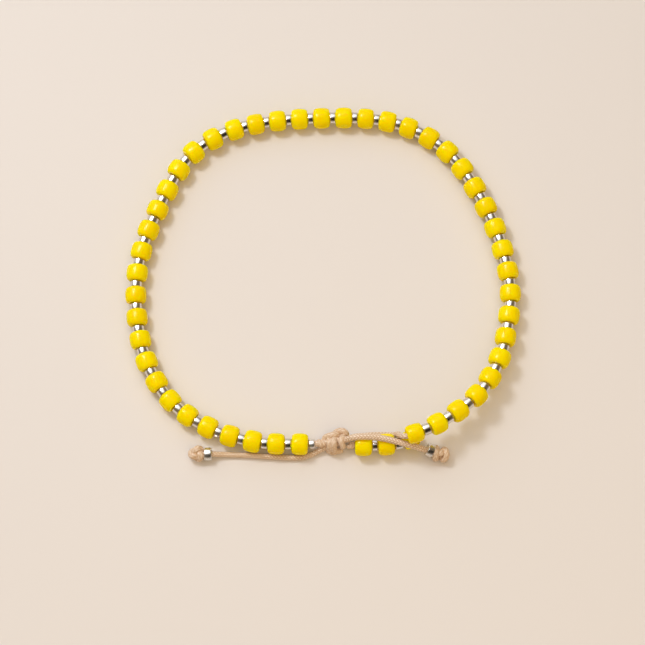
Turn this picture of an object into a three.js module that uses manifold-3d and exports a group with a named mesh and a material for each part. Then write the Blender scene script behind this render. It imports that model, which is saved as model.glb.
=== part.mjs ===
// Adjustable bracelet of yellow glass seed beads with steel beads between them, closed by a
// sliding knot, lying open on a surface. Millimetres, +Z up, origin at the bottom centre.
import * as THREE from 'three';
import { mergeVertices } from 'three/addons/utils/BufferGeometryUtils.js';
import Module from 'manifold-3d';

const wasm = await Module();
wasm.setup();

// Driving dimensions.
const BEAD = { diameter: 4.0, length: 3.0, straight: 1.7, face: 2.8 };
const SPACER = { diameter: 2.2 };
const TAIL_BEAD = { diameter: 2.44, length: 1.5 };
const CORD = 1.0;
const GAP = 0.35;
const BEAD_SIDES = 12;
const CORD_SIDES = 8;
const CORD_STEP = 1.2;

// The raised end of the strand lies on the short strand and comes down in one long, even slope.
const REST = BEAD.diameter / 2;
const RAISED = { height: 4.5, start: 0.5, run: 38.0 };

// The strand's plan, from the outer face of its raised end round to its other end.
const STRAND_ROUTE = [
  { x: 15.6, y: -31.22 },
  { x: 21.2, y: -28.94 },
  { x: 28.65, y: -23.35 },
  { x: 33.1, y: -16.15 },
  { x: 35.05, y: -8.2 },
  { x: 35.5, y: -1.2 },
  { x: 33.6, y: 8.0 },
  { x: 30.0, y: 16.5 },
  { x: 25.0, y: 24.2 },
  { x: 18.5, y: 29.2 },
  { x: 10.5, y: 31.7 },
  { x: 0.0, y: 32.0 },
  { x: -10.5, y: 31.2 },
  { x: -19.0, y: 28.9 },
  { x: -26.2, y: 23.55 },
  { x: -31.5, y: 13.5 },
  { x: -34.5, y: 5.0 },
  { x: -35.3, y: -4.0 },
  { x: -33.5, y: -15.0 },
  { x: -28.5, y: -23.7 },
  { x: -21.0, y: -29.0 },
  { x: -12.5, y: -31.6 },
  { x: -4.0, y: -32.0 },
  { x: 0.0, y: -31.9 },
];

// Each stretch of the strand is one solid: its beads, and the distance from bead to bead.
const STRETCHES = [
  { node: 'strand_raised_end', beads: 3, pitch: 4.63 },
  { node: 'strand_right', beads: 7, pitch: 4.39 },
  { node: 'strand_back_right', beads: 7, pitch: 4.46 },
  { node: 'strand_back', beads: 8, pitch: 4.27 },
  { node: 'strand_back_left', beads: 4, pitch: 4.56 },
  { node: 'strand_left', beads: 8, pitch: 4.37 },
  { node: 'strand_front', beads: 9, pitch: 4.4 },
];

// The short strand: three beads between two small knots.
const SHORT_ROUTE = [
  { x: 4.95, y: -32.2, z: 2.0 },
  { x: 7.6, y: -32.2, z: 2.0 },
  { x: 11.7, y: -32.1, z: 2.0 },
  { x: 14.1, y: -31.75, z: 2.0 },
  { x: 16.5, y: -30.98, z: 2.0 },
  { x: 18.7, y: -29.85, z: 2.0 },
];
const SHORT_BEADS = [2.65, 6.95, 11.8];
const SHORT_KNOTS = [
  { x: 5.5, y: -32.2, z: 1.7, wide: 1.3, deep: 1.6, high: 1.6 },
  { x: 18.4, y: -30.0, z: 1.8, wide: 1.3, deep: 1.6, high: 1.6 },
];

// Cords, each from where it comes out to where it goes in.
const DRAW_CORD = [
  { x: 15.0, y: -31.45, z: 6.55 },
  { x: 14.65, y: -31.25, z: 6.15 },
  { x: 14.4, y: -30.95, z: 5.3 },
  { x: 14.2, y: -30.65, z: 4.5 },
  { x: 14.1, y: -30.3, z: 3.7 },
  { x: 14.05, y: -30.0, z: 2.9 },
  { x: 13.95, y: -29.75, z: 2.2 },
  { x: 13.75, y: -29.6, z: 1.5 },
  { x: 13.3, y: -29.55, z: 0.9 },
  { x: 12.5, y: -29.6, z: 0.6 },
  { x: 11.4, y: -29.65, z: 0.55 },
  { x: 9.2, y: -29.75, z: 0.55 },
  { x: 7.6, y: -29.8, z: 0.55 },
  { x: 6.4, y: -29.9, z: 0.6 },
  { x: 5.4, y: -30.4, z: 0.9 },
];
const LEFT_TAIL = [
  { x: 0.25, y: -33.0, z: 0.6 },
  { x: -0.5, y: -33.2, z: 0.6 },
  { x: -1.8, y: -33.85, z: 0.55 },
  { x: -3.3, y: -34.35, z: 0.55 },
  { x: -4.6, y: -34.4, z: 0.55 },
  { x: -7.4, y: -34.4, z: 0.55 },
  { x: -10.7, y: -34.15, z: 0.55 },
  { x: -14.4, y: -33.9, z: 0.55 },
  { x: -17.6, y: -33.7, z: 0.6 },
  { x: -19.2, y: -33.7, z: 0.9 },
  { x: -20.15, y: -33.72, z: 1.2 },
];
const RIGHT_TAIL = [
  { x: 4.7, y: -31.25, z: 3.3 },
  { x: 5.3, y: -31.1, z: 4.0 },
  { x: 6.1, y: -31.05, z: 4.4 },
  { x: 7.5, y: -31.0, z: 4.6 },
  { x: 9.1, y: -31.0, z: 4.6 },
  { x: 10.6, y: -31.2, z: 4.65 },
  { x: 12.1, y: -31.5, z: 4.75 },
  { x: 13.4, y: -31.9, z: 4.65 },
  { x: 14.8, y: -32.35, z: 4.6 },
  { x: 16.1, y: -32.7, z: 4.45 },
  { x: 17.2, y: -33.0, z: 4.0 },
  { x: 18.2, y: -33.15, z: 3.3 },
  { x: 18.8, y: -33.1, z: 2.75 },
];

// The sliding knot: the two cords through it, and the turns of its own cord round them.
const KNOT_CORE = [
  [
    { x: 4.35, y: -31.3, z: 1.6 },
    { x: 2.6, y: -31.95, z: 1.6 },
    { x: 0.85, y: -32.25, z: 1.6 },
  ],
  [
    { x: 0.75, y: -31.7, z: 2.1 },
    { x: 2.4, y: -31.35, z: 2.4 },
    { x: 3.6, y: -31.25, z: 2.4 },
    { x: 4.3, y: -31.25, z: 2.8 },
  ],
];
const KNOT_TURNS = [
  // The left bar, over both cords.
  [
    { x: 1.3, y: -30.9, z: 1.1 },
    { x: 1.25, y: -31.0, z: 2.0 },
    { x: 1.3, y: -31.5, z: 2.7 },
    { x: 1.35, y: -32.2, z: 2.65 },
    { x: 1.4, y: -32.75, z: 1.8 },
    { x: 1.6, y: -32.7, z: 0.85 },
  ],
  // The middle bar, and its turn along the front.
  [
    { x: 2.4, y: -30.9, z: 1.3 },
    { x: 2.2, y: -31.0, z: 2.3 },
    { x: 2.1, y: -31.5, z: 3.1 },
    { x: 2.08, y: -32.2, z: 3.2 },
    { x: 2.1, y: -32.9, z: 2.1 },
    { x: 2.2, y: -32.9, z: 1.2 },
    { x: 2.5, y: -32.4, z: 0.8 },
  ],
  [
    { x: 0.9, y: -32.6, z: 0.9 },
    { x: 1.3, y: -33.05, z: 0.75 },
    { x: 2.0, y: -33.25, z: 0.7 },
    { x: 2.7, y: -33.05, z: 0.75 },
    { x: 3.0, y: -32.5, z: 0.9 },
  ],
  // The right bar.
  [
    { x: 3.9, y: -30.4, z: 1.2 },
    { x: 3.8, y: -30.6, z: 2.1 },
    { x: 3.65, y: -31.1, z: 2.9 },
    { x: 3.5, y: -31.7, z: 3.05 },
    { x: 3.65, y: -32.3, z: 2.2 },
    { x: 3.6, y: -32.3, z: 1.1 },
  ],
  // The two loops behind, each over the end of a bar.
  [
    { x: 0.7, y: -31.5, z: 1.0 },
    { x: 0.45, y: -31.1, z: 1.5 },
    { x: 0.7, y: -30.7, z: 2.1 },
    { x: 1.5, y: -30.45, z: 2.6 },
    { x: 2.3, y: -30.3, z: 2.6 },
    { x: 2.85, y: -30.35, z: 2.1 },
    { x: 2.95, y: -30.7, z: 1.3 },
  ],
  [
    { x: 2.2, y: -30.5, z: 0.9 },
    { x: 2.35, y: -29.85, z: 1.25 },
    { x: 2.8, y: -29.55, z: 1.9 },
    { x: 3.5, y: -29.5, z: 2.3 },
    { x: 4.2, y: -29.85, z: 2.25 },
    { x: 4.4, y: -30.4, z: 1.7 },
    { x: 4.2, y: -30.9, z: 1.1 },
  ],
  // The knot cord's cut end, pointing out in front.
  [
    { x: 2.8, y: -33.0, z: 0.6 },
    { x: 3.4, y: -32.85, z: 0.55 },
    { x: 3.9, y: -32.6, z: 0.55 },
  ],
];

// Small knots: lobes of drawn-up cord, with their whole sizes.
const STOPPER_KNOT = [{ x: -0.45, y: -31.8, z: 1.9, wide: 1.1, deep: 1.6, high: 1.7 }];
const LEFT_END_KNOT = [
  { x: -23.1, y: -33.7, z: 1.35, wide: 1.4, deep: 3.0, high: 2.6 },
  { x: -24.2, y: -33.8, z: 1.3, wide: 1.7, deep: 2.0, high: 2.4 },
];
const RIGHT_END_KNOT = [
  { x: 21.75, y: -33.75, z: 1.35, wide: 1.5, deep: 2.6, high: 2.6 },
  { x: 22.8, y: -33.85, z: 1.3, wide: 1.8, deep: 2.4, high: 2.4 },
];
const TAIL_BEADS = {
  left: { x: -21.3, y: -33.73, z: 1.25, towards: { x: -1, y: 0, z: 0 } },
  right: { x: 20.0, y: -33.1, z: 1.75, towards: { x: 0.9, y: -0.33, z: -0.28 } },
};

const GLASS = { color: 0xf2c800, roughness: 0.12, metalness: 0 };
const STEEL = { color: 0xb8b4ae, roughness: 0.15, metalness: 1 };
const WAXED = { color: 0xc8a27c, roughness: 0.7, metalness: 0 };

const point = ({ x, y, z = 0 }) => new THREE.Vector3(x, y, z);

function routeOf(rows) {
  const curve = new THREE.CatmullRomCurve3(rows.map(point), false, 'catmullrom', 0.5);
  curve.arcLengthDivisions = 1000;
  return curve;
}

// A placement with the piece's own Y along a direction, and one flat side facing down.
function placed(centre, direction) {
  const y = direction.clone().normalize();
  const z = new THREE.Vector3(0, 0, 1).addScaledVector(y, -y.z).normalize();
  const x = new THREE.Vector3().crossVectors(y, z);
  return new THREE.Matrix4().makeBasis(x, y, z).setPosition(centre);
}

// A closed geometry as a solid, without the flat triangles that a lathe leaves on its axis.
function solidOf(geometry) {
  geometry.deleteAttribute('normal');
  geometry.deleteAttribute('uv');
  const merged = mergeVertices(geometry, 1e-4);
  const all = Array.from(merged.index.array);
  const kept = [];
  for (let i = 0; i < all.length; i += 3) {
    const [a, b, c] = all.slice(i, i + 3);
    if (a !== b && b !== c && c !== a) kept.push(a, b, c);
  }
  return new wasm.Manifold(
    new wasm.Mesh({
      numProp: 3,
      vertProperties: new Float32Array(merged.attributes.position.array),
      triVerts: new Uint32Array(kept),
    }),
  );
}

// Shapes joined as one, with any hollow closed in between them filled.
function joined(solids) {
  const sum = solids.reduce((whole, next) => whole.add(next));
  return sum.decompose().reduce((whole, body) => (body.volume() > whole.volume() ? body : whole));
}

function geometryOf(solid) {
  const { vertProperties, triVerts } = solid.getMesh();
  const geometry = new THREE.BufferGeometry();
  geometry.setAttribute('position', new THREE.BufferAttribute(vertProperties, 3));
  geometry.setIndex(new THREE.BufferAttribute(triVerts, 1));
  geometry.computeVertexNormals();
  return geometry;
}

// Turned pieces have flat sides that touch the true round surface.
function turned(profile) {
  const grown = 1 / Math.cos(Math.PI / BEAD_SIDES);
  const rows = profile.map(({ radius, along }) => new THREE.Vector2(radius * grown, along));
  return new THREE.LatheGeometry(rows, BEAD_SIDES, Math.PI / BEAD_SIDES);
}

// The rings of one bead, and of one steel bead, in a string of them.
function beadRings(piece) {
  const end = BEAD.length / 2;
  const shoulder = BEAD.straight / 2;
  return [
    { piece, along: piece - end, radius: BEAD.face / 2 },
    { piece, along: piece - shoulder, radius: BEAD.diameter / 2 },
    { piece, along: piece + shoulder, radius: BEAD.diameter / 2 },
    { piece, along: piece + end, radius: BEAD.face / 2 },
  ];
}

function spacerRings(from, to) {
  const piece = (from + to) / 2;
  const radius = SPACER.diameter / 2;
  return [
    { piece, along: from, radius },
    { piece, along: to, radius },
  ];
}

// A string turned as one straight bar, with each bead of it then laid along the route.
function strung(at, rings) {
  const first = rings[0];
  const last = rings.at(-1);
  const profile = [{ ...first, radius: 0 }, ...rings, { ...last, radius: 0 }];
  const geometry = turned(profile);
  const corners = geometry.attributes.position;
  const corner = new THREE.Vector3();
  for (let i = 0; i < corners.count; i += 1) {
    const { piece } = profile[i % profile.length];
    corner.fromBufferAttribute(corners, i).setY(corners.getY(i) - piece);
    corner.applyMatrix4(laidAt(at, piece));
    corners.setXYZ(i, corner.x, corner.y, corner.z);
  }
  return geometry;
}

function laidAt(at, along) {
  const before = at(along - BEAD.length / 2);
  const after = at(along + BEAD.length / 2);
  return placed(before.clone().lerp(after, 0.5), after.sub(before));
}

// The rings of beads at the given distances with steel beads between, and of one more steel
// bead that ends at the given place.
function stringRings(distances, finish) {
  const half = BEAD.length / 2;
  return distances.flatMap((along, i) => {
    const to = i < distances.length - 1 ? distances[i + 1] - half : finish;
    return [...beadRings(along), ...(to ? spacerRings(along + half, to) : [])];
  });
}

function tube(rows, diameter = CORD) {
  const outline = new THREE.Shape();
  for (let i = 0; i < CORD_SIDES; i += 1) {
    const turn = (2 * Math.PI * (i + 0.5)) / CORD_SIDES;
    outline[i ? 'lineTo' : 'moveTo'](
      (diameter / 2) * Math.cos(turn),
      (diameter / 2) * Math.sin(turn),
    );
  }
  const path = routeOf(rows);
  const steps = Math.max(2, Math.round(path.getLength() / CORD_STEP));
  return new THREE.ExtrudeGeometry(outline, { steps, bevelEnabled: false, extrudePath: path });
}

function lobe({ wide, deep, high, ...centre }) {
  const ball = new THREE.SphereGeometry(0.5, 12, 8);
  ball.rotateX(Math.PI / 2).scale(wide, deep, high);
  return ball.translate(centre.x, centre.y, centre.z);
}

// Height of the strand's centre at a distance from its raised end.
function strandHeight(along) {
  const down = THREE.MathUtils.smoothstep(along, RAISED.start, RAISED.start + RAISED.run);
  return REST + RAISED.height * (1 - down);
}

const strandPlan = routeOf(STRAND_ROUTE);

function strandPoint(along) {
  const place = strandPlan.getPointAt(along / strandPlan.getLength());
  return place.setZ(strandHeight(along));
}

function strandStretches() {
  let along = BEAD.length / 2;
  return STRETCHES.map(({ node, beads, pitch }) => {
    const distances = Array.from({ length: beads }, (_, i) => along + i * pitch);
    along += beads * pitch;
    const finish = along - BEAD.length / 2 - GAP;
    return [node, [strung(strandPoint, stringRings(distances, finish))], GLASS];
  });
}

function shortStrand() {
  const route = routeOf(SHORT_ROUTE);
  const at = (along) => route.getPointAt(along / route.getLength());
  return [strung(at, stringRings(SHORT_BEADS)), tube(SHORT_ROUTE), ...SHORT_KNOTS.map(lobe)];
}

function tailBead({ towards, ...centre }) {
  const radius = TAIL_BEAD.diameter / 2;
  const end = TAIL_BEAD.length / 2;
  const bar = turned([
    { radius: 0, along: -end },
    { radius, along: -end },
    { radius, along: end },
    { radius: 0, along: end },
  ]);
  return bar.applyMatrix4(placed(point(centre), point(towards)));
}

// Node name, the shapes joined in it, and its material.
const PIECES = [
  ...strandStretches(),
  ['short_strand', shortStrand(), GLASS],
  ['stopper_knot', STOPPER_KNOT.map(lobe), WAXED],
  ['sliding_knot', [...KNOT_CORE, ...KNOT_TURNS].map((rows) => tube(rows)), WAXED],
  ['draw_cord', [tube(DRAW_CORD)], WAXED],
  ['left_tail', [tube(LEFT_TAIL)], WAXED],
  ['left_tail_bead', [tailBead(TAIL_BEADS.left)], STEEL],
  ['left_end_knot', LEFT_END_KNOT.map(lobe), WAXED],
  ['right_tail', [tube(RIGHT_TAIL)], WAXED],
  ['right_tail_bead', [tailBead(TAIL_BEADS.right)], STEEL],
  ['right_end_knot', RIGHT_END_KNOT.map(lobe), WAXED],
];

const bracelet = new THREE.Group();
for (const [name, shapes, look] of PIECES) {
  const material = new THREE.MeshStandardMaterial(look);
  const mesh = new THREE.Mesh(geometryOf(joined(shapes.map(solidOf))), material);
  mesh.name = name;
  bracelet.add(mesh);
}

export default bracelet;
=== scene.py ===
"""The looks of the seed bead bracelet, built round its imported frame. Sizes are in millimetres."""

import math
import random
from typing import NamedTuple

import bpy
import numpy as np
from mathutils import Matrix, Vector


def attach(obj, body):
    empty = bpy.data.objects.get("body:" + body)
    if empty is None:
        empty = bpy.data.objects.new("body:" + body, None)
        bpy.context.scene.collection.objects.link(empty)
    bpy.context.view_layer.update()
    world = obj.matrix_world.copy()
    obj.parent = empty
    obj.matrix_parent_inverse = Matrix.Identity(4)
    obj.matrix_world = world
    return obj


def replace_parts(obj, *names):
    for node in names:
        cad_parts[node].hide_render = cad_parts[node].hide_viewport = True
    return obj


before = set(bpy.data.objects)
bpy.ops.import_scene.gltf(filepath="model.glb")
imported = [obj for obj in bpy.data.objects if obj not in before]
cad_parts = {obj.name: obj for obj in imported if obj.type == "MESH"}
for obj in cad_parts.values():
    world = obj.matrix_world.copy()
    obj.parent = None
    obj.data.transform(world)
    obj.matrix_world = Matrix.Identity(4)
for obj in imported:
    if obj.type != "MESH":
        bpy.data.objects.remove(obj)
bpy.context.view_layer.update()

MM = 0.001
FULL_TURN = 2 * math.pi

# ---------------------------------------------------------------- sizes

BEAD = dict(radius=2.0, half=1.55, face=1.15, roundness=0.72)
# The hole and the dish round it. lip is the dish's inner radius, and edge how much deeper the hole starts.
BEAD_HOLE = dict(radius=0.6, lip=0.75, dimple=0.25, edge=0.14)
SPACER = dict(radius=1.1, half=0.74, corner=0.3, bore=0.55)
TAIL_BEAD = dict(radius=1.22, half=0.74, corner=0.3, bore=0.58)
# The small slope at each end of a steel bead's hole.
STEEL_RIM = dict(along=0.05, out=0.06)
CORD = 0.49
RIGHT_CORD_RADIUS = 0.55
THREAD = 0.45

BEAD_SIDES = 40
BEAD_OUTLINE_POINTS = 25
STEEL_SIDES = 36
STEEL_CORNER_POINTS = 6
KNOT_LINE_POINTS = 241
COIL_POINTS_PER_TURN = 60
CORD_SIDES = 40
THREAD_SIDES = 12

# Height of the strand's centre at rest, and how its first end rises above that.
REST = 2.0
RAISED = dict(height=4.3, start=0.5, run=38.0)

# How much the beads differ from one another.
BEAD_SPREAD = dict(swing=0.018, wide=0.008, long=0.012, oval=0.006, lean=0.004)
SPACER_WIDE_SPREAD = 0.008
# Nearly a full turn.
ANY_ROLL = 6.28

# ---------------------------------------------------------------- routes, near those of the solid model

STRAND_ROUTE = [
    (15.5, -31.25), (21.2, -28.94), (28.65, -23.35), (33.1, -16.15), (35.05, -8.2), (35.5, -1.2),
    (33.6, 8.0), (30.0, 16.5), (25.0, 24.2), (18.5, 29.2), (10.5, 31.7), (0.0, 32.0),
    (-10.5, 31.2), (-19.0, 28.9), (-26.2, 23.55), (-31.5, 13.5), (-34.5, 5.0), (-35.3, -4.0),
    (-33.5, -15.0), (-28.5, -23.7), (-21.0, -29.0), (-12.5, -31.6), (-4.0, -32.0), (0.0, -31.9),
]
# wide scales the width of each bead in turn, and its last value holds for the rest of the stretch.
STRETCHES = [
    dict(node="strand_raised_end", beads=3, pitch=4.63, wide=(0.89, 0.97, 0.98)),
    dict(node="strand_right", beads=7, pitch=4.39, wide=(0.995, 1.01)),
    dict(node="strand_back_right", beads=7, pitch=4.46, wide=(1.015,)),
    dict(node="strand_back", beads=8, pitch=4.27, wide=(1.005,)),
    dict(node="strand_back_left", beads=4, pitch=4.56, wide=(1.02, 1.035)),
    dict(node="strand_left", beads=8, pitch=4.37, wide=(1.03, 1.02)),
    dict(node="strand_front", beads=9, pitch=4.40, wide=(1.01, 0.995, 0.98, 0.98, 1.01)),
]
SHORT_ROUTE = [
    (4.95, -32.2, 2.0), (7.6, -32.2, 2.0), (11.7, -32.1, 2.0), (14.1, -31.92, 2.0), (16.2, -31.38, 2.0),
    (17.9, -30.1, 2.0),
]
# How far along the short strand the middle of each bead is.
SHORT_BEADS = [2.65, 6.9, 11.55]
SHORT_WIDE = (1.02, 1.02, 0.86)

# From inside the raised end, behind the short strand and into the sliding knot.
DRAW_CORD = [
    (18.2, -30.15, 6.2), (17.0, -30.65, 6.28), (16.1, -31.02, 6.3), (15.6, -31.25, 6.3),
    (15.1, -31.24, 6.15), (14.75, -31.13, 5.75), (14.5, -30.97, 5.1), (14.35, -30.83, 4.4),
    (14.22, -30.67, 3.7), (14.15, -30.44, 3.0), (14.1, -30.16, 2.4), (14.0, -30.01, 1.8),
    (13.7, -29.96, 1.2), (13.2, -29.98, 0.75), (12.4, -29.96, 0.57), (11.3, -29.93, 0.55),
    (10.2, -29.92, 0.55), (9.0, -29.98, 0.55), (7.6, -30.08, 0.55), (6.4, -30.2, 0.65),
    (5.4, -30.5, 0.95), (4.35, -31.1, 1.4), (2.6, -31.9, 1.6), (1.2, -32.2, 1.45),
]
# From the sliding knot to the left end knot.
LEFT_TAIL = [
    (0.25, -32.6, 1.15), (-0.6, -32.95, 0.8), (-1.8, -33.55, 0.58), (-3.3, -34.13, 0.55),
    (-4.8, -34.28, 0.55), (-7.4, -34.24, 0.55), (-10.7, -34.04, 0.55), (-14.4, -33.8, 0.55),
    (-17.6, -33.7, 0.6), (-19.2, -33.7, 0.9), (-20.4, -33.72, 1.2), (-21.5, -33.73, 1.25),
    (-22.6, -33.73, 1.25), (-23.4, -33.7, 1.25),
]
# From inside the strand's last beads, through both knots and over the short strand to the right end knot.
RIGHT_CORD = [
    (-8.4, -31.95, 2.0), (-6.2, -32.0, 2.0), (-4.0, -32.0, 2.0), (-2.4, -31.95, 2.0),
    (-1.0, -31.85, 1.95), (0.4, -31.7, 2.0), (2.2, -31.35, 2.3), (3.6, -31.25, 2.5),
    (4.6, -31.25, 3.1), (5.3, -31.15, 3.75), (6.1, -31.1, 4.2), (7.5, -31.05, 4.5),
    (9.1, -31.08, 4.55), (10.6, -31.27, 4.6), (12.1, -31.58, 4.65), (13.4, -31.92, 4.62),
    (14.8, -32.27, 4.5), (16.1, -32.58, 4.3), (17.2, -32.82, 3.85), (18.2, -33.0, 3.15),
    (19.1, -33.1, 2.4), (20.0, -33.12, 1.75), (20.8, -33.35, 1.5), (21.6, -33.6, 1.4),
]

# ---------------------------------------------------------------- lines and places


def smooth_line(points, per_span=24):
    """Points along the same kind of smooth curve that the solid model's routes follow."""
    p = np.array([(*q, 0.0)[:3] for q in points], float)
    p = np.vstack([2 * p[0] - p[1], p, 2 * p[-1] - p[-2]])
    t = np.linspace(0, 1, per_span, endpoint=False)[:, None]
    spans = [
        0.5 * (2 * b + (c - a) * t + (2 * a - 5 * b + 4 * c - d) * t**2 + (3 * b - a - 3 * c + d) * t**3)
        for a, b, c, d in zip(p, p[1:], p[2:], p[3:])
    ]
    return np.vstack([*spans, p[-2:-1]])


def distances(line):
    """How far along a line each of its points is."""
    steps = np.linalg.norm(np.diff(line, axis=0), axis=1)
    return np.concatenate([[0], np.cumsum(steps)])


def points_at(line, walked, wanted):
    """Points of a line at the wanted distances along it."""
    return np.stack([np.interp(wanted, walked, line[:, i]) for i in range(3)], -1)


def resampled(line, step, fewest=8):
    """Evenly spaced points along a line, and how far along it they are."""
    walked = distances(line)
    count = max(fewest, int(round(walked[-1] / step)))
    at = np.linspace(0, walked[-1], count + 1)
    return points_at(line, walked, at), at


class Route:
    """A smooth line that gives its point at any distance from its start."""

    def __init__(self, points):
        self.line = smooth_line(points, per_span=60)
        self.walked = distances(self.line)
        self.length = self.walked[-1]

    def at(self, along):
        return points_at(self.line, self.walked, along)


STRAND_PLAN = Route(STRAND_ROUTE)
SHORT_PLAN = Route(SHORT_ROUTE)


def strand_point(along):
    """The centre of the main strand's cord, at a distance from its raised end."""
    point = STRAND_PLAN.at(along)
    t = min(1.0, max(0.0, (along - RAISED["start"]) / RAISED["run"]))
    point[2] = REST + RAISED["height"] * (1 - t * t * (3 - 2 * t))
    return point


def placed(centre, direction, roll=0.0):
    """A placement with the piece's own Y along a direction and its Z as near up as it can be."""
    y = Vector(direction).normalized()
    z = (Vector((0, 0, 1)) - y * y.z).normalized()
    x = y.cross(z)
    turn = Matrix((x, y, z)).transposed().to_4x4()
    return Matrix.Translation(Vector(centre)) @ turn @ Matrix.Rotation(roll, 4, "Y")


# ---------------------------------------------------------------- meshes


def new_object(name, verts, faces, material, **values):
    """A smooth mesh from points in millimetres, with a number at each point for each name in values."""
    mesh = bpy.data.meshes.new(name)
    mesh.from_pydata(np.asarray(verts, float) * MM, [], faces)
    mesh.materials.append(material)
    mesh.polygons.foreach_set("use_smooth", [True] * len(mesh.polygons))
    for key, numbers in values.items():
        layer = mesh.attributes.new(key, "FLOAT", "POINT")
        layer.data.foreach_set("value", np.asarray(numbers, np.float32))
    mesh.update()
    obj = bpy.data.objects.new(name, mesh)
    bpy.context.collection.objects.link(obj)
    return obj


def fitted(piece, slot, *nodes):
    """Puts a piece on the bracelet's one body, in place of the solids that it stands for. slot is not used.
    """
    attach(piece, "root")
    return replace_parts(piece, *nodes) if nodes else piece


def circle(sides):
    """The angle of each point of a ring."""
    return np.arange(sides) * FULL_TURN / sides


def grid_faces(rings, sides, first=0, closed=False):
    """Faces between rings of points that lie one after another."""
    faces = []
    for i in range(rings if closed else rings - 1):
        a, b = first + i * sides, first + (i + 1) % rings * sides
        faces += [(a + j, b + j, b + (j + 1) % sides, a + (j + 1) % sides) for j in range(sides)]
    return faces


def tube_faces(rings, sides, first):
    """Faces of a tube from its first point's number, with both ends closed."""
    last = first + (rings - 1) * sides
    start_cap = tuple(first + j for j in range(sides))
    end_cap = tuple(last + j for j in reversed(range(sides)))
    return [*grid_faces(rings, sides, first), start_cap, end_cap]


# ---------------------------------------------------------------- turned beads


class Place(NamedTuple):
    """Where a turned bead is, its tone in the material, and how it differs from the plain form."""

    matrix: Matrix
    tone: float
    wide: float = 1.0
    long: float = 1.0
    oval: float = 0.0
    lean: float = 0.0


def mirrored(outline):
    """The same outline at the other end of a bead, in the order that carries on round it."""
    return [(-along, radius) for along, radius in reversed(outline)]


def glass_profile():
    """Half outline of a seed bead with its dished ends and hole, as (along, radius), closed on itself."""
    half, face, power = BEAD["half"], BEAD["face"], BEAD["roundness"]
    rise = BEAD["radius"] - face
    outside = []
    for t in np.linspace(-math.pi / 2, math.pi / 2, BEAD_OUTLINE_POINTS):
        along = half * math.copysign(abs(math.sin(t)) ** power, math.sin(t))
        outside.append((along, face + rise * max(0.0, math.cos(t)) ** power))
    dish = []
    for part in (0.25, 0.5, 0.75, 1.0):
        depth = BEAD_HOLE["dimple"] * math.sin(part * math.pi / 2)
        dish.append((half - depth, face + (BEAD_HOLE["lip"] - face) * part))
    dish.append((half - BEAD_HOLE["dimple"] - BEAD_HOLE["edge"], BEAD_HOLE["radius"]))
    return [*outside, *dish, *mirrored(dish)]


def steel_profile(bead):
    """Half outline of a turned steel bead with rounded corners and its hole."""
    half, corner, radius = bead["half"], bead["corner"], bead["radius"]
    left = [(-half + STEEL_RIM["along"], bead["bore"]), (-half, bead["bore"] + STEEL_RIM["out"])]
    for t in np.linspace(0, math.pi / 2, STEEL_CORNER_POINTS):
        left.append((-half + corner - corner * math.cos(t), radius - corner + corner * math.sin(t)))
    return [*left, *mirrored(left)]


def turned(profile, sides, place):
    """Points of a turned bead, before it is put in its place."""
    turn = circle(sides)
    rings = []
    for along, radius in profile:
        r = radius * place.wide * (1 + place.oval * np.cos(2 * turn)) * (1 + place.lean * along)
        rings.append(np.stack([r * np.sin(turn), np.full(sides, along * place.long), r * np.cos(turn)], 1))
    return np.vstack(rings)


def row_of(name, profile, sides, places, material):
    """One mesh of turned beads, one at each place."""
    verts, faces, tones = [], [], []
    for place in places:
        points = turned(profile, sides, place)
        block = np.array(place.matrix)
        faces += grid_faces(len(profile), sides, len(verts) * len(points), closed=True)
        verts.append(points @ block[:3, :3].T + block[:3, 3])
        tones += [place.tone] * len(points)
    return new_object(name, np.vstack(verts), faces, material, tone=tones)


# ---------------------------------------------------------------- braided cord

BRAID_STRANDS = 8
PLAIT_PITCH = 0.6
PLAIT_RISE = 0.07
KNOT_PLAIT_RISE = 0.05
# How far below the cord's radius the foot of its plait lies, as a part of its rise.
PLAIT_SUNK = 0.55
# How far along the plait each further line of one piece starts, so that no two look alike.
PLAIT_SHIFT = 0.37
# How much of its height a strand loses where it goes under, and how suddenly.
STRAND_DIP = 0.6
STRAND_DIP_POWER = 2.5
RING_STEP = 0.06
# A line that starts nearly upright has less than this as the sine of its angle to the vertical.
NEARLY_UPRIGHT = 0.1
# A cord's last ring is the square root of this, as a part of its radius.
CORD_TIP = 0.02


def plait(turn, along):
    """Height of the strands of a two-over-two round braid, at an angle and a distance along the cord."""
    a = BRAID_STRANDS * turn / FULL_TURN
    u, v = a + along / PLAIT_PITCH, a - along / PLAIT_PITCH
    i, j = np.floor(u), np.floor(v)
    over = (i + j) % 4 < 2
    across = np.where(over, u - i, v - j)
    length = np.where(over, (i + v) % 4, (u + j - 2) % 4) / 2
    crown = np.sqrt(np.clip(1 - (2 * across - 1) ** 2, 0, 1))
    return crown * (1 - STRAND_DIP * np.abs(2 * length - 1) ** STRAND_DIP_POWER)


def carried_frames(points):
    """Two cross directions at each point of a line, which turn no more than the line itself does."""
    tangents = np.gradient(points, axis=0)
    tangents /= np.linalg.norm(tangents, axis=1)[:, None]
    side = np.cross(tangents[0], (0.0, 0.0, 1.0))
    if np.linalg.norm(side) < NEARLY_UPRIGHT:
        side = np.cross(tangents[0], (0.0, 1.0, 0.0))
    sides = []
    for tangent in tangents:
        side = side - tangent * (side @ tangent)
        side /= np.linalg.norm(side)
        sides.append(side)
    sides = np.array(sides)
    return sides, np.cross(tangents, sides)


def tube_rings(points, radii):
    """Rings of points round a line, with a radius for each point of each ring."""
    right, up = carried_frames(points)
    turn = circle(radii.shape[1])
    return (
        points[:, None]
        + radii[..., None] * np.cos(turn)[None, :, None] * right[:, None]
        + radii[..., None] * np.sin(turn)[None, :, None] * up[:, None]
    )


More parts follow.
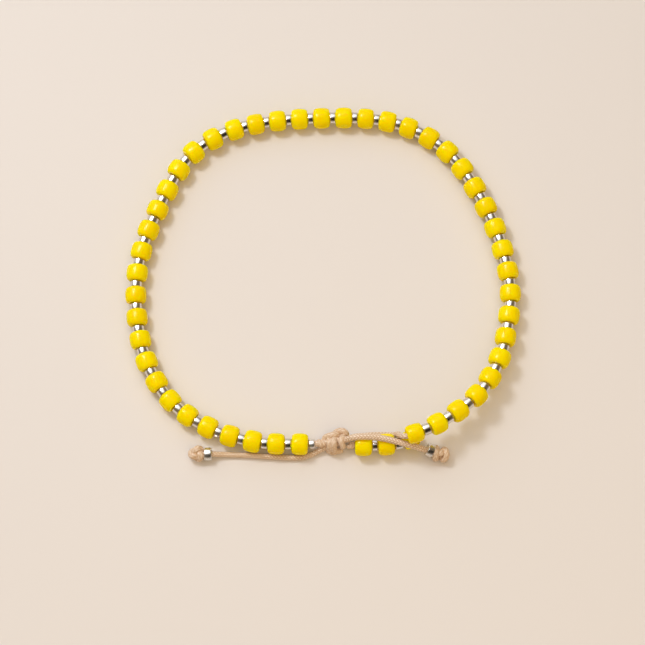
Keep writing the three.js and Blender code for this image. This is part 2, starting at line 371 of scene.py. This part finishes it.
def tubes(name, all_rings, heights):
    """One mesh of tubes in the cord's material, with how high its strands stand at each point."""
    verts, faces, count = [], [], 0
    for rings in all_rings:
        verts.append(rings.reshape(-1, 3))
        faces += tube_faces(*rings.shape[:2], count)
        count += len(verts[-1])
    return new_object(name, np.vstack(verts), faces, BRAID, height=heights)


def braid_rings(line, radius, start, rise):
    """Rings of one braided cord along a line, with rounded ends, and the height of its strands."""
    points, at = resampled(line, RING_STEP)
    height = plait(circle(CORD_SIDES)[None, :], at[:, None] + start)
    end = np.minimum(at, at[-1] - at) / radius
    closing = np.sqrt(np.clip(1 - (1 - np.clip(end, 0, 1)) ** 2, CORD_TIP, 1))
    radii = (radius - PLAIT_SUNK * rise + rise * height) * closing[:, None]
    return tube_rings(points, radii), height


def braid(name, lines, radius, rise, tones):
    """One mesh of braided cord along one or more lines. tones go from its strands' foot, painted in shade,
    to their crown, painted with a highlight.
    """
    low, high = tones
    all_rings, heights = [], []
    for i, line in enumerate(lines):
        rings, height = braid_rings(np.asarray(line, float), radius, PLAIT_SHIFT * i, rise)
        all_rings.append(rings)
        heights.append(low + (high - low) * height.ravel())
    return tubes(name, all_rings, np.concatenate(heights))


# ---------------------------------------------------------------- lines of the knots

KNOT_TURNS = [
    # the left bar, over both cords
    [(1.3, -30.9, 1.0), (1.25, -30.95, 1.9), (1.3, -31.35, 2.5), (1.35, -31.9, 2.7), (1.35, -32.4, 2.35),
     (1.4, -32.75, 1.6), (1.6, -32.7, 0.9), (2.0, -32.3, 0.7)],
    # the middle bar
    [(2.4, -30.9, 1.2), (2.2, -31.0, 2.2), (2.12, -31.5, 2.95), (2.08, -32.1, 3.2), (2.08, -32.6, 2.7),
     (2.12, -32.92, 1.8), (2.3, -32.8, 1.0), (2.6, -32.3, 0.75)],
    # its turn along the front
    [(0.8, -32.5, 0.8), (1.2, -32.95, 0.7), (1.85, -33.2, 0.68), (2.5, -33.1, 0.68), (3.0, -32.6, 0.72)],
    # the right bar
    [(3.9, -30.3, 1.0), (3.85, -30.45, 1.9), (3.75, -30.85, 2.6), (3.5, -31.35, 3.0), (3.45, -31.75, 3.0),
     (3.65, -32.15, 2.6), (3.75, -32.4, 1.9), (3.6, -32.3, 1.1)],
    # the two loops behind
    [(0.7, -31.5, 1.0), (0.45, -31.15, 1.4), (0.5, -30.8, 1.85), (1.05, -30.55, 2.3), (1.75, -30.4, 2.6),
     (2.4, -30.28, 2.55), (2.9, -30.35, 2.0), (3.0, -30.7, 1.2)],
    [(2.2, -30.5, 0.9), (2.35, -29.85, 1.25), (2.7, -29.6, 1.75), (3.25, -29.5, 2.2), (3.85, -29.6, 2.35),
     (4.3, -29.95, 2.2), (4.4, -30.4, 1.7), (4.2, -30.9, 1.1)],
    # the cords that pass through it
    [(0.7, -31.9, 1.7), (1.6, -31.8, 1.9), (2.9, -31.7, 2.0), (4.1, -31.6, 1.8)],
    # the cut end in front
    [(2.6, -33.1, 0.55), (3.0, -33.05, 0.55), (3.4, -32.85, 0.55), (3.8, -32.6, 0.55)],
]
# Two wraps side by side, along the cord, across it and up, with the cord's cut end between them.
TWO_WRAPS = [
    (-1.7, 0.0, 0.0), (-1.2, 0.3, -0.5), (-0.85, 0.85, -0.2), (-0.75, 0.75, 0.45), (-0.7, 0.1, 0.8),
    (-0.75, -0.65, 0.55), (-0.7, -0.95, -0.1), (-0.2, -0.5, -0.6), (0.35, 0.3, -0.6), (0.6, 0.85, -0.1),
    (0.95, 0.75, 0.4), (1.2, 0.1, 0.6), (1.1, -0.6, 0.4), (0.75, -0.9, -0.1), (0.4, -0.5, -0.4),
    (0.15, 0.1, -0.1), (0.15, 0.35, 0.4), (0.1, 0.0, 0.75), (0.0, -0.35, 0.72),
]
# The way both end knots face: up, and a little to the front.
END_KNOT_FACE = (0.0, -0.24, 1.0)


def overhand(centre, size, face, spin, flat):
    """The closed line of a drawn-up overhand knot: three lobes in a plane that faces the given way."""
    t = np.linspace(0, FULL_TURN, KNOT_LINE_POINTS)
    x = np.sin(t) + 2 * np.sin(2 * t)
    y = np.cos(t) - 2 * np.cos(2 * t)
    z = -np.sin(3 * t)
    local = np.stack([x * size / 3, y * size / 3, z * flat], 1)
    c, s = math.cos(spin), math.sin(spin)
    local[:, :2] = local[:, :2] @ np.array([[c, s], [-s, c]])
    up = Vector(face).normalized()
    turn = Vector((0, 0, 1)).rotation_difference(up).to_matrix()
    return local @ np.array(turn).T + np.array(centre)


def coil(start, end, out, turns, lead=0.0):
    """A line wound round the one from start to end, at a distance that goes from out[0] to out[1]."""
    a, b = np.array(start, float), np.array(end, float)
    way = (b - a) / np.linalg.norm(b - a)
    side = np.cross(way, (0, 0, 1.0))
    side /= np.linalg.norm(side)
    up = np.cross(side, way)
    t = np.linspace(0, 1, int(COIL_POINTS_PER_TURN * turns) + 1)[:, None]
    turn = FULL_TURN * turns * t + lead
    away = out[0] + (out[1] - out[0]) * t
    return a + (b - a) * t + away * (np.cos(turn) * up + np.sin(turn) * side)


def laid(points, centre, along, up):
    """Points given along, across and up, laid at a place and a direction."""
    x = Vector(along).normalized()
    y = Vector(up).cross(x).normalized()
    directions = np.array([x, y, x.cross(y)])
    return np.array(points) @ directions + np.array(centre)


# ---------------------------------------------------------------- materials


class Tree:
    """The nodes of a material or of the world, with a short call for each kind that is used here."""

    def __init__(self, owner):
        owner.use_nodes = True
        self.nodes, self.links = owner.node_tree.nodes, owner.node_tree.links

    def new(self, kind, **values):
        """A new node, with each value set on the node itself or on its input of that name."""
        made = self.nodes.new(kind)
        for key, value in values.items():
            if hasattr(made, key):
                setattr(made, key, value)
            else:
                made.inputs[key.replace("_", " ")].default_value = value
        return made

    def feed(self, socket, source):
        """Gives a socket a number, a colour or another node's output."""
        if isinstance(source, (int, float)):
            socket.default_value = source
        elif isinstance(source, tuple):
            socket.default_value = (*source, 1)
        else:
            self.links.new(source, socket)

    def point_number(self, name):
        """The number of that name at each point of the mesh."""
        return self.new("ShaderNodeAttribute", attribute_name=name).outputs["Fac"]

    def noise(self, scale, detail=2.0, roughness=0.5):
        """A random unevenness of the given scale, in the piece's own space."""
        made = self.new("ShaderNodeTexNoise", Scale=scale, Detail=detail, Roughness=roughness)
        self.feed(made.inputs["Vector"], self.new("ShaderNodeTexCoord").outputs["Object"])
        return made.outputs["Fac"]

    def ramp(self, source, stops):
        """A colour ramp with the given (place, colour) stops."""
        made = self.new("ShaderNodeValToRGB")
        elements = made.color_ramp.elements
        while len(elements) < len(stops):
            elements.new(0.5)
        for element, (place, colour) in zip(elements, stops):
            element.position = place
            element.color = (*colour, 1)
        self.feed(made.inputs["Fac"], source)
        return made.outputs["Color"]

    def spread(self, source, low, high, start=0.0, end=1.0, kind="LINEAR"):
        """A number that goes from low to high as its source goes from start to end."""
        made = self.new(
            "ShaderNodeMapRange", interpolation_type=kind,
            From_Min=start, From_Max=end, To_Min=low, To_Max=high,
        )
        self.feed(made.inputs["Value"], source)
        return made.outputs["Result"]

    def mix(self, amount, a, b):
        """Colour a, with an amount of colour b mixed in."""
        made = self.new("ShaderNodeMix", data_type="RGBA")
        for socket, source in zip((made.inputs[0], made.inputs[6], made.inputs[7]), (amount, a, b)):
            self.feed(socket, source)
        return made.outputs[2]


class Surface(Tree):
    """A new material, with plain values set on its shader's own sockets."""

    def __init__(self, name, **values):
        self.material = bpy.data.materials.new(name)
        super().__init__(self.material)
        self.shader = self.nodes["Principled BSDF"]
        for key, value in values.items():
            self.shader.inputs[key.replace("_", " ")].default_value = value

    def colour(self, source):
        self.feed(self.shader.inputs["Base Color"], source)

    def roughness(self, source):
        self.feed(self.shader.inputs["Roughness"], source)

    def bump(self, source, strength, distance):
        made = self.new("ShaderNodeBump", Strength=strength, Distance=distance)
        self.feed(made.inputs["Height"], source)
        self.feed(self.shader.inputs["Normal"], made.outputs["Normal"])


def yellow_glass():
    """Opaque glossy glass, a little cloudy, in a tone that differs from bead to bead."""
    deep, light, cloud_colour = (0.905, 0.695, 0.0), (0.95, 0.75, 0.0), (0.84, 0.57, 0.0)
    glass = Surface(
        "yellow_glass", Specular_IOR_Level=0.075, Subsurface_Weight=0.7,
        Subsurface_Scale=0.9 * MM, Subsurface_Radius=(1.0, 0.65, 0.1),
    )
    even = glass.ramp(glass.point_number("tone"), [(0.0, deep), (1.0, light)])
    cloud = glass.spread(glass.noise(900, detail=3), 0.0, 0.1, start=0.5, end=0.8)
    glass.colour(glass.mix(cloud, even, cloud_colour))
    glass.roughness(glass.spread(glass.noise(1500), 0.14, 0.2))
    glass.bump(glass.noise(700, detail=1), strength=0.12, distance=0.1 * MM)
    return glass.material


def polished_steel():
    """Polished metal with fine wear, duller on the beads with a higher tone."""
    bright, worn = (0.78, 0.75, 0.71), (0.66, 0.61, 0.55)
    dulled_by_tone = 0.18
    steel = Surface("polished_steel", Metallic=1.0)
    fine = steel.noise(2600, detail=4, roughness=0.7)
    dulled = steel.new("ShaderNodeMath", operation="MULTIPLY_ADD")
    terms = (steel.point_number("tone"), dulled_by_tone, steel.spread(fine, 0.10, 0.20))
    for socket, source in zip(dulled.inputs, terms):
        steel.feed(socket, source)
    steel.roughness(dulled.outputs["Value"])
    steel.colour(steel.mix(steel.spread(fine, 0.0, 0.5, start=0.45, end=0.8), bright, worn))
    steel.bump(fine, strength=0.05, distance=0.05 * MM)
    return steel.material


def braided_cord():
    """Waxed braid with darker fibres and paler patches, with painted shade between its strands and a painted
    highlight on their crowns.
    """
    fibre_colour, patch_colour = (0.50, 0.31, 0.17), (0.86, 0.70, 0.55)
    cord = Surface("braided_cord", Specular_IOR_Level=0.35, Sheen_Weight=0.15, Sheen_Roughness=0.4)
    height = cord.point_number("height")
    # Painted shade and highlight: the colour goes from dark at each strand's foot, where shade falls between
    # the strands, to pale on the crowns, where the light catches them.
    base = cord.ramp(height, [
        (0.0, (0.28, 0.145, 0.065)), (0.35, (0.54, 0.335, 0.19)), (0.7, (0.69, 0.485, 0.32)),
        (0.95, (0.90, 0.77, 0.64)),
    ])
    fibre = cord.noise(5200, detail=3, roughness=0.7)
    tinted = cord.mix(cord.spread(fibre, 0.0, 0.4, start=0.42, end=0.75), base, fibre_colour)
    patch = cord.spread(cord.noise(420), 0.0, 0.25, start=0.45, end=0.7)
    cord.colour(cord.mix(patch, tinted, patch_colour))
    cord.roughness(cord.spread(height, 0.72, 0.36))
    cord.bump(fibre, strength=0.35, distance=0.08 * MM)
    return cord.material


def pale_floor():
    """A matt floor with a faint, wide unevenness of colour."""
    surface = Surface("pale_floor", Roughness=0.75, Specular_IOR_Level=0.2)
    surface.colour(surface.mix(surface.noise(6), (0.75, 0.697, 0.67), (0.77, 0.717, 0.69)))
    return surface.material


GLASS, STEEL, BRAID = yellow_glass(), polished_steel(), braided_cord()

# ---------------------------------------------------------------- the strands

CHANCE = random.Random(11)
# Each bead is raised or let down to suit its width, but no further down than suits this width.
NARROWEST_LET_DOWN = 0.97
SPACER_LONGEST_HALF = 0.78
# How far, at most, a steel bead reaches into the dished end of the glass bead on each side.
SPACER_REACH = 0.04
# How far off the middle of its gap a steel bead may lie, as a part of its play.
SPACER_PLAY = 0.4
SPACER_DULLEST = 0.3
# The strand's last steel bead is smaller and dull.
END_SPACER = dict(wide=0.82, long=0.8, tone=1.0)
THREAD_TONE = 0.6
# How far inside its strand each thread starts and ends, and the step between its points.
STRAND_THREAD = dict(start=2.0, inside=1.0, step=0.5)
SHORT_THREAD = dict(start=0.9, inside=0.6, step=0.25)


def bead_place(at, along, wide):
    """The place of one glass bead, which is a little its own size and shape."""
    before, after = at(along - BEAD["half"]), at(along + BEAD["half"])
    direction = Vector(after - before).normalized()
    direction.rotate(Matrix.Rotation(CHANCE.gauss(0, BEAD_SPREAD["swing"]), 3, "Z"))
    wide *= 1 + CHANCE.gauss(0, BEAD_SPREAD["wide"])
    long = 1 + CHANCE.gauss(0, BEAD_SPREAD["long"])
    oval = CHANCE.uniform(-BEAD_SPREAD["oval"], BEAD_SPREAD["oval"])
    lean = CHANCE.gauss(0, BEAD_SPREAD["lean"])
    centre = Vector((before + after) / 2)
    centre.z += BEAD["radius"] * (max(wide, NARROWEST_LET_DOWN) - 1)
    matrix = placed(centre, direction, CHANCE.uniform(0, ANY_ROLL))
    return Place(matrix, CHANCE.random(), wide, long, oval, lean)


def spacer_place(at, start, end):
    """The place of a steel bead in the gap between two glass beads, somewhere within its play."""
    half = min(SPACER_LONGEST_HALF, (end - start) / 2 + SPACER_REACH)
    play = max(0.0, end - start - 2 * half)
    middle = (start + end) / 2 + play * CHANCE.uniform(-SPACER_PLAY, SPACER_PLAY)
    before, after = at(middle - half), at(middle + half)
    wide = 1 + CHANCE.gauss(0, SPACER_WIDE_SPREAD)
    matrix = placed((before + after) / 2, after - before, CHANCE.uniform(0, ANY_ROLL))
    return Place(matrix, CHANCE.uniform(0.0, SPACER_DULLEST), wide, half / SPACER["half"])


def glass_beads(node, at, beads, wide):
    """The glass beads of one stretch, as one piece that stands for its solid."""
    places = [bead_place(at, along, wide[min(i, len(wide) - 1)]) for i, along in enumerate(beads)]
    piece = row_of(f"{node}_glass_beads", glass_profile(), BEAD_SIDES, places, GLASS)
    fitted(piece, "yellow_glass", node)


def steel_beads(node, at, gaps, small_end=False):
    """The steel beads of one stretch, as one piece, with one in each gap between glass beads."""
    places = [spacer_place(at, start, end) for start, end in gaps]
    if small_end:
        places[-1] = places[-1]._replace(**END_SPACER)
    piece = row_of(f"{node}_steel_beads", steel_profile(SPACER), STEEL_SIDES, places, STEEL)
    fitted(piece, "polished_steel")


def gaps_between(beads):
    """Where each gap between two glass beads starts and ends."""
    return [(a + BEAD["half"], b - BEAD["half"]) for a, b in zip(beads, beads[1:])]


def main_strand():
    """Every stretch of the main strand in turn, each ended by a steel bead. Gives how long the strand is."""
    along = BEAD["half"]
    for stretch in STRETCHES:
        node, pitch = stretch["node"], stretch["pitch"]
        beads = [along + i * pitch for i in range(stretch["beads"])]
        along += stretch["beads"] * pitch
        strand_end = along - BEAD["half"]
        gaps = [*gaps_between(beads), (beads[-1] + BEAD["half"], strand_end)]
        glass_beads(node, strand_point, beads, stretch["wide"])
        steel_beads(node, strand_point, gaps, small_end=stretch is STRETCHES[-1])
    return strand_end


def short_strand():
    """The three glass beads by the knot, with a steel bead between each two."""
    glass_beads("short_strand", SHORT_PLAN.at, SHORT_BEADS, SHORT_WIDE)
    steel_beads("short_strand", SHORT_PLAN.at, gaps_between(SHORT_BEADS))


def thread_line(at, length, start, inside, step):
    """The line of the cord inside a strand's beads."""
    return np.array([at(along) for along in np.arange(start, length - inside, step)])


def thread_inside_strands(strand_length):
    """The cord inside the beads of both strands, which shows in the gaps between them."""
    lines = [
        thread_line(strand_point, strand_length, **STRAND_THREAD),
        thread_line(SHORT_PLAN.at, SHORT_PLAN.length, **SHORT_THREAD),
    ]
    all_rings = [tube_rings(line, np.full((len(line), THREAD_SIDES), THREAD)) for line in lines]
    point_count = sum(map(len, lines)) * THREAD_SIDES
    fitted(tubes("strand_thread", all_rings, [THREAD_TONE] * point_count), "braided_cord")


# ---------------------------------------------------------------- cords, tail beads and knots

TAIL_BEAD_TONE = 0.7
PATH_STEP = 0.25


def tail_bead(node, centre, towards):
    """The steel bead near the end of a tail."""
    place = Place(placed(centre, towards), TAIL_BEAD_TONE)
    piece = row_of(f"{node}_steel", steel_profile(TAIL_BEAD), STEEL_SIDES, [place], STEEL)
    return fitted(piece, "polished_steel", node)


def knot(name, nodes, lines, radius):
    """A knot of braided cord, whose plait is pressed flatter than a free cord's."""
    piece = braid(name, lines, radius, KNOT_PLAIT_RISE, tones=(0.4, 0.85))
    return fitted(piece, "braided_cord", *nodes)


def free_cord(name, route, nodes, radius):
    """A free braided cord along a route, in place of the solids that it stands for."""
    line, _ = resampled(smooth_line(route), PATH_STEP)
    piece = fitted(braid(name, [line], radius, PLAIT_RISE, tones=(0.0, 1.0)), "braided_cord", *nodes)


def left_end_knot():
    """A drawn-up overhand knot at the end of the left tail."""
    line = overhand((-23.35, -33.65, 1.4), size=0.98, face=END_KNOT_FACE, spin=math.radians(30), flat=0.5)
    return knot("left_end_knot_turns", ["left_end_knot"], [line], radius=0.66)


def right_end_knot():
    """Two wraps with the cord's cut end between them, at the end of the right tail."""
    points = laid(TWO_WRAPS, (21.8, -33.72, 1.42), along=(0.95, -0.15, -0.02), up=END_KNOT_FACE)
    return knot("right_end_knot_turns", ["right_end_knot"], [smooth_line(points)], radius=0.6)


def stopper_knot():
    """The small knot that ends the left side of the main strand."""
    line = coil((-0.85, -31.9, 1.95), (0.5, -31.75, 1.95), out=(0.5, 0.28), turns=2.2, lead=2.0)
    knot("stopper_knot_turns", ["stopper_knot"], [line], radius=0.42)


def sliding_knot():
    """The knot that both cords pass through, turn by turn."""
    lines = [smooth_line(turn) for turn in KNOT_TURNS]
    knot("sliding_knot_turns", ["sliding_knot"], lines, radius=0.58)


def short_strand_knots():
    """The small knots at both ends of the short strand, whose solid its glass beads stand for."""
    near = coil((4.75, -32.1, 1.6), (5.95, -32.2, 1.85), out=(0.3, 0.36), turns=2.2)
    far = coil((17.55, -30.22, 1.9), (18.0, -29.95, 1.85), out=(0.34, 0.26), turns=1.6)
    knot("short_strand_knots", [], [near, far], radius=0.36)


def closure():
    """Both tails with their beads and knots, the knots between them, and the two cords."""
    left_bead = tail_bead("left_tail_bead", (-21.3, -33.73, 1.25), towards=(-1, 0, 0))
    right_bead = tail_bead("right_tail_bead", (19.97, -33.1, 1.75), towards=(0.9, -0.33, -0.28))
    left_knot = left_end_knot()
    right_knot = right_end_knot()
    stopper_knot()
    sliding_knot()
    short_strand_knots()
    free_cord(
        "draw_cord_and_left_tail", DRAW_CORD + LEFT_TAIL, ["draw_cord", "left_tail"],
        radius=CORD,
    )
    free_cord(
        "right_tail_cord", RIGHT_CORD, ["right_tail"],
        radius=RIGHT_CORD_RADIUS,
    )


# ---------------------------------------------------------------- floor, light and camera

TARGET = Vector((0, -8.7, 2.0)) * MM
CAMERA = dict(distance=380, tilt=math.radians(14), lens=112.5, sensor=36, nearest=10)
FLOOR_HALF = 1500
NORTH_WEST = (-0.42, 0.40, 0.86)
LIGHTS = [
    dict(
        name="key", direction=NORTH_WEST, distance=400, size=75, radiance=28.5,
        colour=(0.96, 1.0, 1.04), glossy=False,
    ),
    dict(
        name="glint", direction=NORTH_WEST, distance=420, size=160, radiance=40.0,
        colour=(1.0, 1.0, 1.0), diffuse=False,
    ),
    dict(
        name="fill", direction=(0.30, -0.50, 0.80), distance=500, size=750, radiance=1.0,
        colour=(1.0, 0.80, 0.52), glossy=False,
    ),
]
# The bright patch is whole within the inner angle of its middle, and gone at the outer one, in degrees.
SKY = dict(
    middle=(-0.353, 0.55, 0.757), inner=26, outer=50, bright=(1.24, 1.27, 1.30),
    shade=(0.30, -0.62, 0.72), dark=(0.02, 0.016, 0.012), around=(0.18, 0.13, 0.075), low=(0.42, 0.35, 0.28),
)


def floor():
    """A wide flat surface under the bracelet."""
    corners = [(-FLOOR_HALF, -FLOOR_HALF, 0), (FLOOR_HALF, -FLOOR_HALF, 0)]
    corners += [(FLOOR_HALF, FLOOR_HALF, 0), (-FLOOR_HALF, FLOOR_HALF, 0)]
    new_object("floor", corners, [(0, 1, 2, 3)], pale_floor())


def area_light(name, direction, distance, size, radiance, colour, glossy=True, diffuse=True):
    """A square lamp that faces the bracelet, of a given brightness seen from there."""
    light = bpy.data.lights.new(name, "AREA")
    light.shape = "SQUARE"
    light.size = size * MM
    light.color = colour
    light.energy = radiance * math.pi * (size * MM) ** 2
    obj = bpy.data.objects.new(name, light)
    bpy.context.collection.objects.link(obj)
    way = Vector(direction).normalized()
    obj.location = TARGET + way * (distance * MM)
    obj.rotation_euler = way.to_track_quat("Z", "Y").to_euler()
    obj.visible_camera = False
    obj.visible_glossy = glossy
    obj.visible_diffuse = diffuse


def facing(tree, where, direction):
    """How nearly a direction in the sky is the given one, from -1 to 1."""
    dot = tree.new("ShaderNodeVectorMath", operation="DOT_PRODUCT")
    tree.feed(dot.inputs[0], where)
    dot.inputs[1].default_value = Vector(direction).normalized()
    return dot.outputs["Value"]


def studio_world():
    """A soft bright patch of sky to the north-west, dark to the south-east, and a warm low horizon."""
    world = bpy.data.worlds.new("studio")
    bpy.context.scene.world = world
    tree = Tree(world)
    where = tree.new("ShaderNodeTexCoord").outputs["Generated"]
    split = tree.new("ShaderNodeSeparateXYZ")
    tree.feed(split.inputs[0], where)
    outer, inner = (math.cos(math.radians(SKY[edge])) for edge in ("outer", "inner"))
    bright = tree.spread(facing(tree, where, SKY["middle"]), 0.0, 1.0, outer, inner, "SMOOTHSTEP")
    low = tree.spread(split.outputs["Z"], 1.0, 0.0, start=0.1, end=0.42)
    shade = tree.spread(facing(tree, where, SKY["shade"]), 0.0, 1.0, start=0.80, end=0.94)
    sky = tree.mix(shade, SKY["around"], SKY["dark"])
    base = tree.mix(low, sky, SKY["low"])
    tree.feed(tree.nodes["Background"].inputs["Color"], tree.mix(bright, base, SKY["bright"]))
    tree.nodes["Background"].inputs["Strength"].default_value = 1.0


def camera():
    """A camera in front of the bracelet, that looks down at it from near overhead."""
    data = bpy.data.cameras.new("camera")
    data.lens = CAMERA["lens"]
    data.sensor_width = CAMERA["sensor"]
    data.clip_start = CAMERA["nearest"] * MM
    obj = bpy.data.objects.new("camera", data)
    bpy.context.collection.objects.link(obj)
    look = Vector((0, math.sin(CAMERA["tilt"]), -math.cos(CAMERA["tilt"])))
    obj.location = TARGET - look * (CAMERA["distance"] * MM)
    obj.rotation_euler = look.to_track_quat("-Z", "Y").to_euler()
    bpy.context.scene.camera = obj


strand_length = main_strand()
short_strand()
thread_inside_strands(strand_length)
closure()
floor()
studio_world()
for light in LIGHTS:
    area_light(**light)
camera()
bpy.context.scene.view_settings.view_transform = "Standard"
